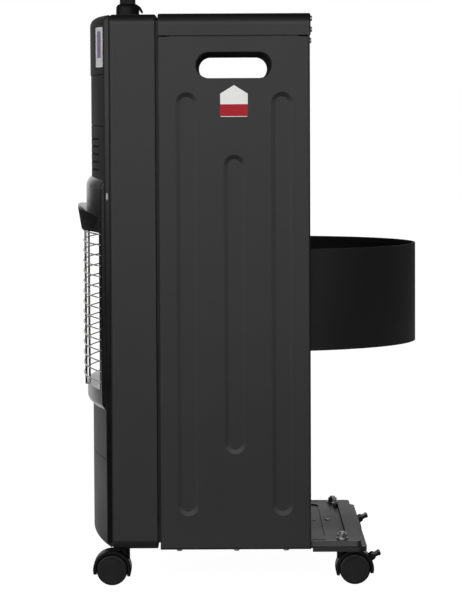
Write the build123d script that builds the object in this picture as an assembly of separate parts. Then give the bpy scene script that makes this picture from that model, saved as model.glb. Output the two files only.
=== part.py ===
from build123d import *
import os
from math import asin, atan2, cos, degrees, radians, sin, sqrt

# Mobile gas cabinet heater. X across the width, front faces -Y, +Z up, floor at Z = 0.
# Everything is drawn with Y = 0 at the front edges of the side panels and is moved,
# when written, so that the origin lies under the middle of the whole heater.

# How far a cutting solid runs past the face that it cuts
past = 1.0

# Cabinet
body_width = 420.0
body_bottom = 48.7
panel_height = 659.4
panel_depth = 194.4
panel_sheet = 1.0
panel_flange = 16.0
panel_edge = 2.5
rib_width = 27.5
rib_depth = 1.0
rib_taper = 80.0
rib_pitch = 61.0
outer_rib_height = 545.0
middle_rib_height = 385.0
rib_mid_height = 316.3
slot_length = 96.0
slot_height = 32.4
slot_drop = 36.6
slot_lip = 4.0
slot_round = 1.5
lid_skirt = 27.9
lid_seam = 2.0
lid_round = 14.0
lid_overhang = 1.0
lid_lap = 10.0
lid_flange = 5.0
lid_edge = 2.0
tie_bar_height = 12.0
tie_bar_depth = 14.0
tie_bar_end = 18.0

# Front unit, the housing that carries the burner
unit_gap = 3.0
unit_depth = 60.1
unit_inset = 4.0
unit_rise = 0.8
unit_sheet = 1.0
unit_round = 12.0
unit_edge = 6.0
unit_rim = 12.0
unit_back_edge = 1.5
hem_recess = 8.0
hem_width = 8.0

# Bowed front, an arc in plan
bow_reach = 30.6
bow_fall = 24.5
front_inset = 9.0
front_round = 12.0
front_corner = 3.0
sweep_angle = 60.0
opening_gap = 2.0
fascia_step = 0.8
panel_seam = 0.8
fascia_height = 76.2
upper_front_height = 66.0
kick_height = 116.8
strip_width = 4.5
strip_depth = 6.0
strip_round = 2.0
strip_end_gap = 8.0
louvre_count = 5
louvre_pitch = 10.0
louvre_slot = 3.0
louvre_inset = 37.0
louvre_lip = 2.2
louvre_drop = 18.8
louvre_blade = 1.0
louvre_fall = 1.6

# Bezel round the radiant opening, with its visor
bezel_reach = 7.4
bezel_fall = 26.8
bezel_inset = 5.0
bezel_wall = 2.5
bezel_top = 478.8
bezel_bottom = 177.8
bezel_top_round = 14.0
bezel_top_bulge = 2.2
bezel_low_round = 8.5
bezel_low_bulge = 1.2
window_inset = 14.0
window_low = 204.8
window_high = 408.3
bezel_edge = 3.0
bezel_inner_edge = 0.5
bezel_depth = 40.0
visor_reach = 11.7
visor_fall = 34.6
visor_height = 33.0
visor_lip = 6.0
visor_slope = 4.5
visor_round = 2.0
visor_arch = 14.0
visor_inset = 12.0
visor_pocket = 4.0

# Wire guard
wire_radius = 0.9
wire_count = 15
wire_pitch = 13.65
wire_top_drop = 1.6
guard_reach = 4.7
guard_fall = 28.2
guard_overlap = 7.0
guard_hole_gap = 0.1
guard_stub = 5.0
guard_rod_gap = 0.05
guard_rod_radius = 1.5
guard_rod_offset = 48.0
guard_rod_tail = 3.0

# Burner
tray_sheet = 0.8
tray_depth = 18.0
tray_flange = 10.0
burner_count = 3
burner_space = 12.0
burner_height = 168.0
burner_depth = 26.0
burner_sheet = 0.8
plaque_inset = 5.0
plaque_height = 150.0
plaque_depth = 12.0
plaque_gap = 0.3
plaque_hold = 2.0
venturi_radius = 11.0
venturi_length = 52.0
venturi_flare = 3.0
jet_gap = 6.0
jet_length = 14.0
jet_radius = 3.0
jet_hex = 9.0
jet_bore = 1.0
jet_seat = 0.5
manifold_radius = 6.0
manifold_inset = 28.0
manifold_wall = 1.0
manifold_plug = 2.0
bracket_width = 16.0
bracket_foot = 14.0
shield_sheet = 0.6
shield_standoff = 5.0
shield_inset = 3.0
shield_height = 190.0

# Pilot
pilot_radius = 4.0
pilot_length = 22.0
probe_radius = 2.0
probe_length = 30.0
electrode_radius = 2.6
electrode_length = 26.0
pilot_tail = 8.0
pilot_cap = 1.2
pilot_port = 1.2
pilot_port_drop = 8.0

# Gas tap and knob
knob_setback = 44.6
knob_radius = 15.5
knob_skirt = 16.5
knob_wall = 1.6
knob_cavity = 10.0
knob_edge = 2.0
knob_shoulder = 6.0
knob_hub_radius = 7.0
knob_grip_width = 9.0
knob_grip_length = 21.0
knob_grip_corner = 4.05
knob_mark_width = 1.6
knob_mark_depth = 0.6
knob_wing_reach = 20.7
knob_wing_width = 6.0
knob_wing_radius = 14.0
knob_wing_thickness = 2.2
knob_wing_rise = 4.0
knob_wing_root = 10.0
knob_grip_height = 17.7
knob_travel = 3.0
knob_socket = 14.0
knob_bezel_gap = 0.8
knob_bezel_height = 5.0
knob_clearance = 0.4
spindle_radius = 4.0
spindle_flat = 2.6
spindle_seat = 9.0
plug_radius = 9.0
plug_height = 18.0
valve_width = 44.0
valve_length = 34.0
valve_height = 36.0
valve_neck_radius = 11.0
valve_corner = 3.0
valve_floor = 3.0
valve_port_drop = 22.0
running_fit = 0.05
valve_drop = 9.0
pipe_radius = 4.0
pipe_seat = 5.0
pipe_bend = 9.0
pipe_setback = 12.0
pilot_loop = 20.0
lead_radius = 1.2
lead_pitch = 10.0
lead_bend = 6.0
lead_loop = 24.0
lead_drop = 31.0
lead_spread = 8.5
pilot_pipe_radius = 2.0
inlet_inset = 46.0
inlet_drop = 150.0
inlet_radius = 4.2
inlet_length = 20.0
inlet_collar_radius = 7.5
inlet_collar = 6.0
inlet_bore = 2.6
inlet_boss_radius = 6.5
inlet_boss = 7.0
inlet_chamfer = 1.0

# Base plate
plate_sheet = 1.2
plate_rise = 9.0
plate_rim_width = 6.0
plate_lip = 6.0
plate_tail = 31.3
plate_side_gap = 2.0
plate_front_gap = 0.2
plate_corner = 14.0
plateau_corner = 8.0
plate_notch = 1.0
plate_slope = 1.5
channel_width = 7.5
channel_depth = 4.0
channel_corner = 3.0
channel_setback = 3.0
well_depth = 1.6
well_margin = 49.0
well_corner = 12.0
drain_radius = 3.0
drain_setback = 10.0
well_front = 20.0
well_rail_gap = 4.0
plate_slot_length = 24.0
plate_slot_width = 6.0
plate_slot_inset = 21.0
plate_slot_setback = 63.8
rail_width = 33.0
rail_web = 20.0
rail_inset = 12.0
rivet_inset = 3.6
rivet_radius = 1.6
rivet_head_radius = 3.2
rivet_head = 1.3
rivet_dome = 0.8
rivet_tail_radius = 2.4
rivet_tail = 1.4

# Cylinder band
band_side_gap = 4.0
band_setback = 57.8
band_height = 131.1
band_bottom = 304.4
band_sheet = 1.2
band_tail = 26.0
keeper_gap = 0.5
keeper_sheet = 1.2
keeper_width = 22.0
keeper_height = 16.0
hook_depth = 10.0
hook_gap = 0.4
hook_spacing = 66.0
hook_width = 18.0
keeper_setback = 3.0
band_hem = 8.0
band_notch = 3.0
band_lift = 12.0

# Castors
wheel_radius = 20.0
wheel_width = 13.5
wheel_round = 2.5
wheel_ring_radius = 15.5
wheel_ring_width = 1.6
wheel_ring_depth = 0.8
wheel_gap = 0.5
web_thickness = 8.4
web_radius = 22.0
hood_radius = 24.8
hood_gap = 0.9
hood_inset = 0.5
hood_low = 7.0
hood_tilt = 3.4
hood_edge = 1.5
axle_radius = 2.5
axle_socket = 10.0
axle_end_gap = 0.3
castor_trail = 16.0
castor_inset = 35.0
front_castor_setback = 47.5
front_castor_turn = 180.0
rear_castor_reach = 235.5
boss_radius = 7.0
boss_height = 8.0
boss_root = 6.0
stem_collar = 2.0
stem_collar_radius = 5.0
stem_radius = 4.0
stem_length = 18.0
pin_radius = 3.0
pin_length = 16.0
swivel_gap = 0.3
nut_width = 12.0
nut_height = 5.5
washer_radius = 8.0
washer_height = 1.2
lever_angle = 33.0
lever_radius = 27.9
lever_width = 22.0
lever_cam_inner = 5.0
lever_cam_thickness = 3.0
lever_wheel_gap = 0.3
lever_arm_angle = 26.0
lever_arm_thickness = 3.6
lever_tip_radius = 2.4
ear_thickness = 2.5
ear_radius = 3.6
lever_notch = 10.0
lever_hub = 2.8
lever_pin_radius = 1.2
lever_length = 8.8
lever_swing = 16.0
lever_clearance = 0.4

# Screws
screw_head_radius = 3.6
screw_head_height = 2.0
screw_shank_radius = 1.7
screw_shank = 4.0
screw_dome = 1.2
screw_inset = 10.0
rear_screw_drop = 5.3
lid_screw_rises = (6.8, 20.8)
bottom_screw_inset = 5.2
bottom_screw_places = (24.3, 98.2, 162.3)

# Places worked out from the sizes above
half_width = body_width / 2
panel_inner = half_width - panel_sheet
panel_top = body_bottom + panel_height
lid_bottom = panel_top + lid_seam
lid_top = lid_bottom + lid_skirt
unit_half = half_width - unit_inset
unit_bottom = body_bottom
unit_top = lid_top - unit_rise
unit_back = -unit_gap
unit_front = unit_back - unit_depth
bow_front = unit_front - bow_reach
front_half = unit_half - front_inset
bezel_half_width = front_half - bezel_inset
window_half_width = bezel_half_width - window_inset
visor_half_width = bezel_half_width - visor_inset
guard_half_width = window_half_width + guard_overlap
louvre_half_length = front_half - louvre_inset
burner_pitch = 2 * window_half_width / burner_count
burner_width = burner_pitch - burner_space
plaque_width = burner_width - 2 * plaque_inset
pilot_offset = burner_pitch / 2
manifold_half_length = window_half_width - manifold_inset
shield_half_width = window_half_width - shield_inset
inlet_offset = unit_half - inlet_inset
castor_offset = half_width - castor_inset
band_radius = panel_inner - band_side_gap
plate_reach = rear_castor_reach + plate_tail
kick_top = unit_bottom + kick_height
fascia_bottom = unit_top - fascia_height
upper_front_bottom = fascia_bottom - upper_front_height
bezel_front = bow_front - bezel_reach
bezel_high = unit_bottom + bezel_top
bezel_low = unit_bottom + bezel_bottom
window_bottom = unit_bottom + window_low
window_top = unit_bottom + window_high
visor_front = bezel_front - visor_reach
guard_front = bezel_front - guard_reach
tray_front = unit_front + unit_sheet
tray_back = tray_front + tray_depth
plate_top = body_bottom + plate_rise
band_centre = panel_depth - band_setback
band_reach = band_centre + band_radius
castor_top = unit_bottom - stem_collar
window_middle = (window_bottom + window_top) / 2
rod_bottom = window_bottom - guard_rod_tail
pilot_y = (tray_front + tray_back) / 2
venturi_y = tray_back + burner_depth / 2
jet_top = window_middle - burner_height / 2 - venturi_length - jet_gap
manifold_z = jet_top - jet_length + jet_seat - manifold_radius
manifold_back = venturi_y + manifold_radius
pipe_y = -pipe_setback
inlet_z = unit_top - inlet_drop
valve_top = unit_top - unit_sheet - valve_drop
valve_bottom = valve_top - valve_height
port_z = valve_top - valve_port_drop
plug_bottom = valve_bottom + valve_floor + swivel_gap
plug_top = plug_bottom + plug_height
spindle_bottom = plug_top - spindle_seat
knob_bottom = unit_top + knob_travel + knob_clearance
spindle_top = knob_bottom + knob_socket
knob_cup_radius = knob_radius - knob_wall
knob_bezel_radius = knob_cup_radius - knob_bezel_gap
plate_half_width = panel_inner - plate_side_gap
plate_bottom = body_bottom + panel_sheet
plateau_margin = plate_rim_width + plate_slope
plate_front = panel_sheet + plate_front_gap
well_back = rear_castor_reach - rail_width / 2 - plate_sheet - well_rail_gap
keeper_x = band_radius + keeper_gap
keeper_y = band_centre - keeper_setback - keeper_width / 2
band_middle = band_bottom + band_height / 2
hood_top = castor_top - swivel_gap
wheel_inner = web_thickness / 2 + wheel_gap
wheel_outer = wheel_inner + wheel_width
channel_middle = rear_castor_reach + channel_setback
rivet_y = rear_castor_reach - rail_width / 2 + rivet_inset
front_reach = -visor_front
origin_shift = (front_reach - band_reach) / 2


def arc_radius(half, fall):
    """Radius of an arc that falls back by this much at a distance half from its middle."""
    return (half ** 2 + fall ** 2) / (2 * fall)


bow_radius = arc_radius(front_half, bow_fall)
bezel_radius = arc_radius(bezel_half_width, bezel_fall)
visor_radius = arc_radius(visor_half_width, visor_fall)
guard_radius = arc_radius(guard_half_width, guard_fall)


def block(x0, x1, y0, y1, z0, z1):
    middle = Pos((x0 + x1) / 2, (y0 + y1) / 2, (z0 + z1) / 2)
    return middle * Box(abs(x1 - x0), abs(y1 - y0), abs(z1 - z0))


def round_bar(start, direction, radius, length):
    base = Plane(origin=start, z_dir=direction)
    return base * Cylinder(radius, length, align=(Align.CENTER, Align.CENTER, Align.MIN))


def mirrored(shape):
    return mirror(shape, about=Plane.YZ)


def bow(radius, x):
    """How far an arc of this radius falls back at a distance x from its middle."""
    return radius - sqrt(radius ** 2 - x ** 2)


def bow_block(front, radius, half, back, z0, z1):
    """Block with a plan-bowed front face."""
    corner = front + bow(radius, half)
    outline = [
        ThreePointArc((-half, corner), (0, front), (half, corner)),
        Polyline((half, corner), (half, back), (-half, back), (-half, corner)),
    ]
    return Pos(0, 0, z0) * extrude(make_face(outline), z1 - z0)


def swept(outline, radius, front, half, back):
    """Face of (Y, Z) lines swept round the bow's upright axis, trimmed to +-half in X and to back in Y."""
    face = make_face([Plane.YZ * line for line in outline])
    axis_y = front + radius
    full = revolve(face, Axis((0, axis_y, 0), (0, 0, 1)), sweep_angle)
    full = Pos(0, axis_y, 0) * Rot(0, 0, -sweep_angle / 2) * Pos(0, -axis_y, 0) * full
    box = face.bounding_box()
    return full & block(-half, half, front - past, back, box.min.Z - past, box.max.Z + past)


def rounded_profile(front, back, z0, z1, top, bottom):
    """Closed (Y, Z) outline with a straight back, rounded at the front's top and bottom."""
    lines = [Line((back, z1), (front + top, z1)), Line((front, z1 - top), (front, z0 + bottom)),
             Line((front + bottom, z0), (back, z0)), Line((back, z0), (back, z1))]
    if top:
        lines.append(RadiusArc((front + top, z1), (front, z1 - top), -top))
    if bottom:
        lines.append(RadiusArc((front, z0 + bottom), (front + bottom, z0), -bottom))
    return lines


def front_pan(front, z0, z1, top=0.0, bottom=0.0):
    """Pressed pan with a bowed face, open at the back where it meets the housing rim."""
    def solid(inset, back):
        outline = rounded_profile(front + inset, unit_back, z0 + inset, z1 - inset,
                                  max(top - inset, 0), max(bottom - inset, 0))
        body = swept(outline, bow_radius - inset, front + inset, front_half - inset, back)
        kept = []
        for wall in body.faces().filter_by(Axis.X):
            for edge in wall.edges():
                at_seam = (not top and edge.center().Z > z1 - 1.5 * unit_sheet
                           or not bottom and edge.center().Z < z0 + 1.5 * unit_sheet)
                at_back = edge.bounding_box().min.Y > back - unit_sheet / 2
                if not at_seam and not at_back:
                    kept.append(edge)
        return fillet(kept, front_corner - inset)
    return solid(0.0, unit_front) - solid(unit_sheet, unit_front + unit_sheet)


def upright(x, y, radius, z0, z1):
    return round_bar((x, y, z0), (0, 0, 1), radius, z1 - z0)


def cross_bar(y, z, radius, x0, x1):
    return round_bar((x0, y, z), (1, 0, 0), radius, x1 - x0)


def hexagon(x, y, width, z0, z1):
    return Pos(x, y, z0) * extrude(RegularPolygon(width / 2, 6, major_radius=False), z1 - z0)


def screw(at, outward):
    """Pan head on a face with its shank in the sheets behind."""
    way = Vector(*outward)
    head = round_bar(at, outward, screw_head_radius, screw_head_height)
    rim = head.edges().filter_by(GeomType.CIRCLE).sort_by(lambda e: (e.center() - Vector(*at)).dot(way))[-1]
    head = fillet(rim, screw_dome)
    return head + round_bar(at, tuple(-way), screw_shank_radius, screw_shank)


def screw_hole(at, outward):
    way = Vector(*outward)
    start = Vector(*at) + way * screw_head_height
    length = screw_head_height + screw_shank + past
    return round_bar(tuple(start), tuple(-way), screw_shank_radius + running_fit, length)


def bottom_screws():
    x = panel_inner - bottom_screw_inset
    return [(side * x, y, body_bottom) for side in (-1, 1) for y in bottom_screw_places]


def rear_screws():
    x = half_width - screw_inset
    low = (panel_depth, panel_top - rear_screw_drop)
    lid = [(panel_depth + lid_overhang, lid_bottom + rise) for rise in lid_screw_rises]
    return [(side * x, y, z) for side in (-1, 1) for y, z in [low] + lid]


def panel_pan(inset, top):
    """Filled pan of the right-hand panel, open at its top and rounded along its other outer edges."""
    body = block(panel_inner - panel_flange, half_width - inset, inset, panel_depth - inset,
                 body_bottom + inset, top)
    outer = body.faces().sort_by(Axis.X)[-1]
    edges = [e for e in outer.edges() if e.center().Z < top - panel_sheet / 2]
    return fillet(edges, panel_edge - inset)


def panel_ribs(panel):
    """Press three upright ribs into the panel."""
    outside = Plane(origin=(half_width, 0, 0), x_dir=(0, 0, 1), z_dir=(-1, 0, 0))
    inside = Plane(origin=(panel_inner, 0, 0), x_dir=(0, 0, 1), z_dir=(-1, 0, 0))
    ribs = ((-rib_pitch, outer_rib_height), (0, middle_rib_height), (rib_pitch, outer_rib_height))
    for shift, length in ribs:
        place = Pos(body_bottom + rib_mid_height, panel_depth / 2 + shift)
        hollow = place * SlotOverall(length, rib_width)
        swell = place * SlotOverall(length + panel_sheet, rib_width + panel_sheet)
        panel += extrude(inside * swell, rib_depth, taper=rib_taper)
        panel -= extrude(outside * hollow, rib_depth, taper=rib_taper)
    return panel


def hand_slot(panel):
    """Long slot with its edge rolled inwards."""
    middle = panel_top - slot_drop
    place = Plane(origin=(half_width, panel_depth / 2, middle), x_dir=(0, 1, 0), z_dir=(-1, 0, 0))
    depth = panel_sheet + slot_lip
    rolled = SlotOverall(slot_length + 2 * panel_sheet, slot_height + 2 * panel_sheet)
    panel += extrude(place * rolled, depth)
    panel -= extrude(place * SlotOverall(slot_length, slot_height), depth)
    mouth = block(half_width - running_fit, half_width + past, 0, panel_depth,
                  middle - slot_height / 2 - running_fit, middle + slot_height / 2 + running_fit)
    inside = [e for e in panel.edges() if mouth.is_inside(e.center()) and e.center().Y > panel_flange
              and e.center().Y < panel_depth - panel_flange]
    return fillet(inside, slot_round)


def rear_flange_notch(x, z0, z1):
    """Cut in the panel's rear flange, from its free edge out to x."""
    return block(panel_inner - panel_flange - past, x, panel_depth - panel_edge, panel_depth + past, z0, z1)


def side_panel():
    """Right-hand panel: flanges on three sides, ribs, hand slot, and an upstand and tab for the lid."""
    panel = panel_pan(0.0, panel_top) - panel_pan(panel_sheet, panel_top + past)
    panel = hand_slot(panel_ribs(panel))
    ledge = block(panel_inner - lid_flange, panel_inner, lid_round, panel_depth - lid_round,
                  panel_top - panel_sheet, panel_top)
    upstand = block(panel_inner - lid_flange - panel_sheet, panel_inner - lid_flange, lid_round,
                    panel_depth - lid_round, panel_top - panel_sheet, lid_bottom + lid_lap)
    tab = block(panel_inner - panel_flange, panel_inner, panel_depth - panel_sheet, panel_depth,
                panel_top - lid_lap, lid_top)
    panel += ledge + upstand + under_lid(tab)
    band_x = sqrt(band_radius ** 2 - (panel_depth - panel_sheet - band_centre) ** 2)
    panel -= rear_flange_notch(band_x + band_notch, band_bottom - 2 * band_notch,
                               band_bottom + band_height + band_lift + 2 * band_notch)
    panel -= rear_flange_notch(plate_half_width + plate_notch, plate_bottom, plate_top + plate_notch)
    for at in rear_screws():
        panel -= screw_hole(at, (0, 1, 0))
    for at in bottom_screws():
        panel -= screw_hole(at, (0, 0, -1))
    return panel


def lid_solid(inset):
    body = block(-half_width + inset, half_width - inset, inset, panel_depth + lid_overhang - inset,
                 lid_bottom - inset, lid_top - inset)
    top = body.faces().sort_by(Axis.Z)[-1]
    sides = top.edges().filter_by(Axis.Y)
    body = fillet(sides, lid_round - inset)
    ends = [e for f in (body.faces().sort_by(Axis.Y)[0], body.faces().sort_by(Axis.Y)[-1])
            for e in f.edges() if e.center().Z > lid_bottom + lid_edge]
    return fillet(ends, lid_edge - inset)


def under_lid(piece):
    """Trim a piece that rises inside the lid to the lid's inner face."""
    below = block(-panel_inner, panel_inner, 0, panel_depth, body_bottom, lid_bottom)
    return piece & (lid_solid(panel_sheet) + below)


def top_cover():
    cover = lid_solid(0.0) - lid_solid(panel_sheet)
    for at in rear_screws():
        cover -= screw_hole(at, (0, 1, 0))
    return cover


def rear_tie_bar():
    half = panel_inner - panel_edge + panel_sheet
    back = panel_depth - panel_sheet
    web = under_lid(block(-half, half, back - panel_sheet, back, panel_top - tie_bar_height, lid_top))
    shelf = block(-half + tie_bar_end, half - tie_bar_end, back - tie_bar_depth, back,
                  panel_top - tie_bar_height, panel_top - tie_bar_height + panel_sheet)
    bar = web + shelf
    for at in rear_screws():
        bar -= screw_hole(at, (0, 1, 0))
    return bar


def housing_solid(inset):
    """Front unit housing as a filled block with rounded edges."""
    height = unit_top - unit_bottom
    outline = RectangleRounded(2 * (unit_half - inset), height - 2 * inset, unit_round - inset)
    body = extrude(Plane.XZ * outline, unit_depth - 2 * inset)
    body = Pos(0, unit_back - inset, (unit_top + unit_bottom) / 2) * body
    front_loop = body.edges().group_by(Axis.Y)[0]
    body = fillet(front_loop, unit_edge - inset)
    back_loop = body.edges().group_by(Axis.Y)[-1]
    return fillet(back_loop, unit_back_edge - inset)


def front_stems():
    return [(side * castor_offset, -front_castor_setback) for side in (-1, 1)]


def rear_stems():
    return [(side * castor_offset, rear_castor_reach) for side in (-1, 1)]


def front_casing():
    casing = housing_solid(0.0) - housing_solid(unit_sheet)
    opening = unit_half - unit_rim
    casing -= block(-opening, opening, unit_front - past, unit_back + past,
                    unit_bottom + unit_rim, unit_top - unit_rim)
    hole = spindle_radius + knob_clearance
    casing -= upright(0, -knob_setback, hole, unit_top - unit_rim, unit_top + past)
    for x, y in front_stems():
        casing -= upright(x, y, stem_radius + running_fit, unit_bottom - past, unit_bottom + unit_rim)
    return casing


def corner_strips():
    strip = block(front_half, front_half + strip_width, unit_front - strip_depth, unit_front,
                  unit_bottom + strip_end_gap, unit_top - strip_end_gap)
    edge = strip.edges().filter_by(Axis.Z).sort_by(lambda e: e.center().Y - e.center().X)[0]
    strip = fillet(edge, strip_round)
    return [strip, mirrored(strip)]


def louvre(z):
    """Slot through the bowed sheet, and the blade that is lanced inwards above it."""
    top = z + louvre_slot
    tip = bow_front + unit_sheet + louvre_lip
    root = bow_front + unit_sheet / 2
    front, back = bow_front - past, bow_front + unit_sheet + past
    slot = [Polyline((front, z), (front, top), (back, top), (back, z), close=True)]
    blade = [Polyline((root, top + louvre_blade), (tip, top + louvre_blade - louvre_fall),
                      (tip, top - louvre_fall), (root, top), close=True)]
    half = louvre_half_length
    return [swept(outline, bow_radius, bow_front, half, unit_back) for outline in (slot, blade)]


def main_front_panel():
    panel = front_pan(bow_front, kick_top, upper_front_bottom - panel_seam)
    rim = bezel_wall + opening_gap
    panel -= block(-window_half_width - rim, window_half_width + rim, bow_front - past, unit_back,
                   window_bottom - rim, window_top + rim)
    for index in range(louvre_count):
        slot, blade = louvre(upper_front_bottom - louvre_drop - index * louvre_pitch)
        panel = panel - slot + blade
    return panel


def bezel_solid(inset, back):
    """Bezel as a filled block: rounded top and bottom, bowed face, upright side walls."""
    front = bezel_front + inset
    behind = bezel_front + bezel_depth
    low = bezel_low + inset
    high = bezel_high - inset
    bowed = bow_front + inset
    brow, chin = (front, high - bezel_top_round), (front, low + bezel_low_round)
    outline = [SagittaArc(brow, (bowed, high), bezel_top_bulge),
               Polyline((bowed, high), (behind, high), (behind, low), (bowed, low)),
               SagittaArc((bowed, low), chin, bezel_low_bulge), Line(chin, brow)]
    body = swept(outline, bezel_radius - inset, front, bezel_half_width - inset, back)
    uprights = body.edges().filter_by(Axis.Z).sort_by(Axis.Y)
    half = bezel_half_width - inset
    outer = [e for e in uprights if abs(abs(e.center().X) - half) < running_fit]
    sides = [e for e in outer if e.center().Y < back - past]
    return fillet(sides, max(bezel_edge - inset, bezel_inner_edge))


def window_block(margin, front, back):
    return block(-window_half_width - margin, window_half_width + margin, front, back,
                 window_bottom - margin, window_top + margin)


def bezel_frame():
    filled = bezel_solid(0.0, tray_front)
    skin = filled - bezel_solid(bezel_wall, tray_front + past)
    skin -= bow_block(bow_front, bow_radius, front_half, unit_back, bezel_low - past, bezel_high + past)
    collar = window_block(bezel_wall, visor_front, tray_front) & filled
    frame = skin + collar - window_block(0, visor_front, unit_back)
    depth = unit_front - guard_front
    for x, z in wire_ends():
        frame -= round_bar((x, guard_front, z), (0, 1, 0), wire_radius + guard_hole_gap, depth)
    for x in rod_places():
        at = (x, guard_front, rod_bottom)
        frame -= round_bar(at, (0, 1, 0), guard_rod_radius + guard_hole_gap, depth)
    return frame


def bezel_visor():
    low = window_top
    high = window_top + visor_height
    back = bezel_front + bezel_wall
    outline = [Polyline((back, low), (visor_front + visor_slope, low), (visor_front, high - visor_lip),
                        (visor_front, high), (back, high), close=True)]
    body = swept(outline, visor_radius, visor_front, visor_half_width, unit_front)
    arch = arc_radius(visor_half_width, visor_arch)
    body = body & round_bar((0, unit_back, high - arch), (0, -1, 0), arch, unit_back - visor_front + past)
    body -= bezel_solid(0.0, tray_front)
    front_edges = [e for e in body.edges() if e.center().Y < visor_front + visor_round]
    body = fillet([e for e in front_edges if e.length > window_half_width], visor_round)
    for x in rod_places():
        body -= upright(x, rod_y(x), guard_rod_radius + guard_hole_gap, low - past, low + visor_pocket)
    return body


def rod_places():
    return (-guard_rod_offset, guard_rod_offset)


def rod_y(x):
    return guard_front + bow(guard_radius, x) + wire_radius + guard_rod_radius + guard_rod_gap


def wire_heights():
    return [window_top - wire_top_drop - index * wire_pitch for index in range(wire_count)]


def wire_ends():
    return [(side * guard_half_width, z) for side in (-1, 1) for z in wire_heights()]


def guard_wires():
    axis_y = guard_front + guard_radius
    end_y = guard_front + bow(guard_radius, guard_half_width)
    half_angle = degrees(asin(guard_half_width / guard_radius))
    wires = []
    for z in wire_heights():
        section = Plane.YZ * Pos(guard_front, z) * Circle(wire_radius)
        arc = revolve(section, Axis((0, axis_y, 0), (0, 0, 1)), 2 * half_angle)
        wire = Pos(0, axis_y, 0) * Rot(0, 0, -half_angle) * Pos(0, -axis_y, 0) * arc
        for side in (-1, 1):
            end = (side * guard_half_width, end_y, z)
            wire += Pos(*end) * Sphere(wire_radius)
            wire += round_bar(end, (0, 1, 0), wire_radius, guard_stub)
        wires.append(wire)
    return wires


def guard_rods():
    rods = []
    for x in rod_places():
        y = rod_y(x)
        rod = upright(x, y, guard_rod_radius, rod_bottom, window_top + visor_pocket)
        rod += Pos(x, y, rod_bottom) * Sphere(guard_rod_radius)
        rod += round_bar((x, y, rod_bottom), (0, 1, 0), guard_rod_radius, guard_stub)
        rods.append(rod)
    return rods


def burner_places():
    return (-burner_pitch, 0.0, burner_pitch)


def plaque_block(x, margin, y0, y1):
    """Block on one burner's plaque, larger by a margin all round."""
    half, rise = plaque_width / 2 + margin, plaque_height / 2 + margin
    return block(x - half, x + half, y0, y1, window_middle - rise, window_middle + rise)


def reflector_tray():
    flange_half = unit_half - unit_edge
    flange = block(-flange_half, flange_half, tray_front, tray_front + tray_sheet,
                   window_bottom - tray_flange, window_top + tray_flange)
    well = window_block(tray_sheet, tray_front, tray_back)
    tray = flange + well - window_block(0, tray_front - past, tray_back - tray_sheet)
    for x in burner_places():
        tray -= plaque_block(x, -plaque_hold, tray_back - tray_sheet - past, tray_back + past)
    low = window_bottom - tray_sheet - past
    for x, radius in pilot_places():
        tray -= upright(x, pilot_y, radius + running_fit, low, window_bottom + past)
    return tray


def pilot_places():
    """The pilot burner with its thermocouple and spark electrode, between the first two burners."""
    return [(-pilot_offset, pilot_radius), (-pilot_offset - lead_pitch, electrode_radius),
            (-pilot_offset + lead_pitch, probe_radius)]


def burner_plaque(x):
    return plaque_block(x, 0, tray_back, tray_back + plaque_depth)


def burner_shell(x, inset):
    half, rise = burner_width / 2 - inset, burner_height / 2 - inset
    return block(x - half, x + half, tray_back + inset, tray_back + burner_depth - inset,
                 window_middle - rise, window_middle + rise)


def venturi(x, inset, top):
    """Mixing tube below a burner, with a flared mouth, or the bore inside it."""
    mouth = window_middle - burner_height / 2 - venturi_length
    radius = venturi_radius - inset
    flare = Pos(x, venturi_y, mouth) * Cone(radius + venturi_flare, radius, 2 * venturi_flare,
                                            align=(Align.CENTER, Align.CENTER, Align.MIN))
    return upright(x, venturi_y, radius, mouth, top) + flare


def burner_box(x):
    """Sheet box behind a plaque, open to its mixing tube."""
    low = window_middle - burner_height / 2
    box = burner_shell(x, 0.0) + venturi(x, 0.0, low + burner_sheet)
    box = box - burner_shell(x, burner_sheet) - venturi(x, burner_sheet, low + burner_sheet + past)
    return box - plaque_block(x, plaque_gap, tray_back - past, tray_back + plaque_depth)


def gas_manifold():
    ends = manifold_half_length
    bore_end = ends - manifold_plug
    above = manifold_z + manifold_radius + past
    tube = cross_bar(venturi_y, manifold_z, manifold_radius, -ends, ends)
    tube -= cross_bar(venturi_y, manifold_z, manifold_radius - manifold_wall, -bore_end, bore_end)
    for x in burner_places():
        tube -= upright(x, venturi_y, jet_bore, manifold_z, above)
        tube -= block(x - jet_hex, x + jet_hex, venturi_y - jet_hex, venturi_y + jet_hex,
                      manifold_z + manifold_radius - jet_seat, above)
    return tube - round_bar((0, venturi_y, manifold_z), (0, 1, 0), pipe_radius + running_fit,
                            manifold_radius + past)


def gas_jets():
    base = manifold_z + manifold_radius - jet_seat
    jets = []
    for x in burner_places():
        jet = hexagon(x, venturi_y, jet_hex, base, base + jet_length / 2)
        jet += upright(x, venturi_y, jet_radius, base + jet_length / 2, jet_top)
        jets.append(jet - upright(x, venturi_y, jet_bore, base - past, jet_top + past))
    return jets


def manifold_brackets():
    brackets = []
    for side in (-1, 1):
        x = side * (manifold_half_length - bracket_width)
        x0, x1 = x - bracket_width / 2, x + bracket_width / 2
        low = manifold_z - manifold_radius
        foot = block(x0, x1, -2 * unit_sheet, -unit_sheet, low - bracket_foot, low)
        arm = block(x0, x1, venturi_y - manifold_radius, -unit_sheet, low - unit_sheet, low)
        lip = block(x0, x1, venturi_y - manifold_radius - unit_sheet, venturi_y - manifold_radius,
                    low - unit_sheet, manifold_z)
        brackets.append(foot + arm + lip)
    return brackets


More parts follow.
